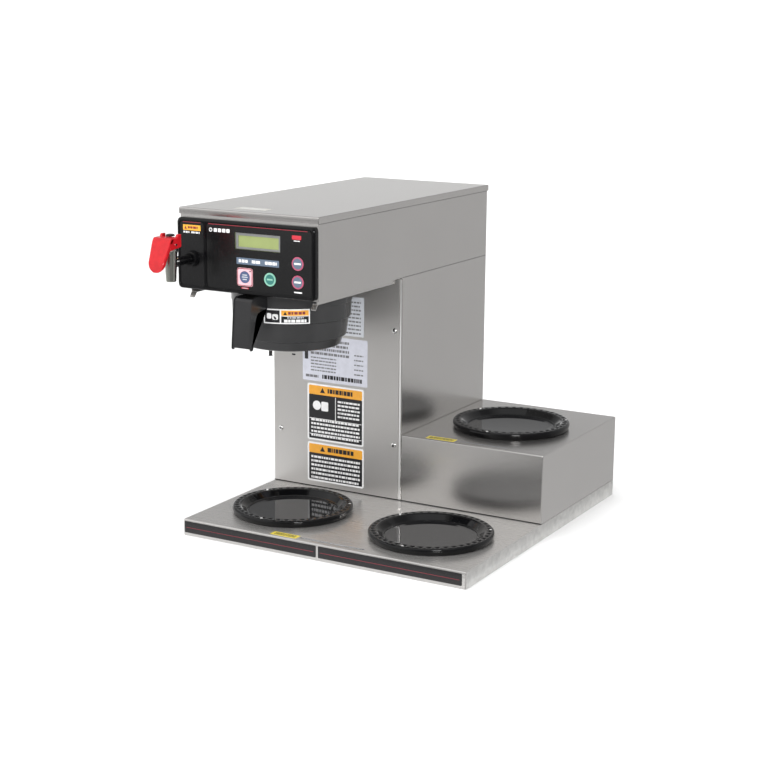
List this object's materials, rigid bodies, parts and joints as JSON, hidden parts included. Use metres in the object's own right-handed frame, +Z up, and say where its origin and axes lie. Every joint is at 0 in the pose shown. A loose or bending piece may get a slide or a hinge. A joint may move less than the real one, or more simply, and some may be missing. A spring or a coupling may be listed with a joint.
{
  "type": "commercial coffee brewer",
  "caption": "Stainless counter-top coffee brewer with a slide-out funnel, hot water faucet, key panel and round warmers on a wide base and a raised box.",
  "frame": {"origin": "centre of the base's resting face", "axes": "+Z up, +Y towards the back with the water inlet, the front panel and faucet face -Y, +X to the right seen from the front"},
  "size_m": [0.4075, 0.5524, 0.4217],
  "materials": {
    "stainless_steel": "brushed stainless sheet with a fine grain",
    "chrome": "polished chrome plate",
    "black_plastic": "satin moulded black plastic",
    "gloss_black": "glossy moulded black",
    "black_enamel": "glossy black enamel on steel",
    "overlay_film": "printed black overlay film",
    "strip_film": "dark strip with a thin red line",
    "red_plastic": "glossy red moulding",
    "green_key": "printed key",
    "blue_grey_key": "printed key",
    "pink_key": "printed key",
    "display_green": "green liquid crystal display",
    "clear_window": "clear window",
    "circuit_board": "green circuit board",
    "silicone": "milky silicone",
    "brass": "turned brass",
    "heater_mica": "mica heating element",
    "transformer_steel": "laminated steel core"
  },
  "bodies": {
    "frame": {"base_bottom_plate": "stainless_steel", "base_strip_left": "strip_film", "base_strip_right": "strip_film", "base_tray": "stainless_steel", "column_front_cover": "stainless_steel", "column_screw_1": "chrome", "column_screw_2": "chrome", "column_screw_3": "chrome", "column_screw_4": "chrome", "column_shell": "stainless_steel", "control_board": "circuit_board", "control_overlay": "overlay_film", "cord_gland": "black_plastic", "dispense_valve": "black_plastic", "display_module": "display_green", "display_window": "clear_window", "faucet_body": "chrome", "faucet_bonnet": "black_plastic", "faucet_hose": "silicone", "faucet_nut": "gloss_black", "faucet_overlay": "overlay_film", "faucet_pin": "chrome", "faucet_shank": "black_plastic", "fill_hose": "silicone", "front_bezel": "black_plastic", "funnel_rail_left": "stainless_steel", "funnel_rail_right": "stainless_steel", "head_shell": "stainless_steel", "head_underside_pan": "stainless_steel", "inlet_fitting": "brass", "inlet_valve": "black_plastic", "rear_warmer_box": "stainless_steel", "spray_tube": "silicone", "sprayhead": "silicone", "switch_housing": "black_plastic", "tank_heater": "chrome", "tank_lid": "stainless_steel", "temperature_probe": "chrome", "terminal_block": "black_plastic", "top_lid": "stainless_steel", "transformer": "transformer_steel", "warmer_element_1": "heater_mica", "warmer_element_2": "heater_mica", "warmer_element_3": "heater_mica", "warmer_plate_1": "black_enamel", "warmer_plate_2": "black_enamel", "warmer_plate_3": "black_enamel", "warmer_ring_1": "gloss_black", "warmer_ring_2": "gloss_black", "warmer_ring_3": "gloss_black", "water_tank": "stainless_steel"},
    "brew_funnel": {"brew_funnel": "black_plastic", "funnel_handle": "black_plastic"},
    "faucet_handle": {"faucet_handle": "red_plastic"},
    "faucet_stem": {"faucet_stem": "black_plastic"},
    "brew_key": {"button_brew": "pink_key"},
    "power_key": {"button_power": "green_key"},
    "rear_warmer_key": {"button_rear_warmer": "blue_grey_key"},
    "front_warmer_key": {"button_front_warmer": "blue_grey_key"},
    "power_rocker": {"switch_rocker": "black_plastic"}
  },
  "joints": [
    {"name": "funnel_slide", "type": "slide", "parent": "frame", "child": "brew_funnel", "axis": [0, -1, 0], "range_m": [0, 0.15]},
    {"name": "faucet_handle_pivot", "type": "hinge", "parent": "frame", "child": "faucet_handle", "pos_m": [-0.179, -0.2823, 0.3837], "axis": [1, 0, 0], "range_deg": [0, 20], "stiffness_Nm_per_rad": 0.4, "springref_deg": -8.59},
    {"name": "faucet_stem_travel", "type": "slide", "parent": "frame", "child": "faucet_stem", "axis": [0, 0, 1], "range_m": [0, 0.0028]},
    {"name": "brew_key_travel", "type": "slide", "parent": "frame", "child": "brew_key", "axis": [0, 1, 0], "range_m": [0, 0.0008], "stiffness_N_per_m": 1500, "springref_m": -0.0006},
    {"name": "power_key_travel", "type": "slide", "parent": "frame", "child": "power_key", "axis": [0, 1, 0], "range_m": [0, 0.0008], "stiffness_N_per_m": 1500, "springref_m": -0.0006},
    {"name": "rear_warmer_key_travel", "type": "slide", "parent": "frame", "child": "rear_warmer_key", "axis": [0, 1, 0], "range_m": [0, 0.0008], "stiffness_N_per_m": 1500, "springref_m": -0.0006},
    {"name": "front_warmer_key_travel", "type": "slide", "parent": "frame", "child": "front_warmer_key", "axis": [0, 1, 0], "range_m": [0, 0.0008], "stiffness_N_per_m": 1500, "springref_m": -0.0006},
    {"name": "power_rocker_pivot", "type": "hinge", "parent": "frame", "child": "power_rocker", "pos_m": [-0.103, 0.2245, 0.06], "axis": [-1, 0, 0], "range_deg": [0, 16]}
  ],
  "couplings": [
    {"joint": "faucet_stem_travel", "follows": "faucet_handle_pivot", "m_per_rad": 0.0078}
  ]
}
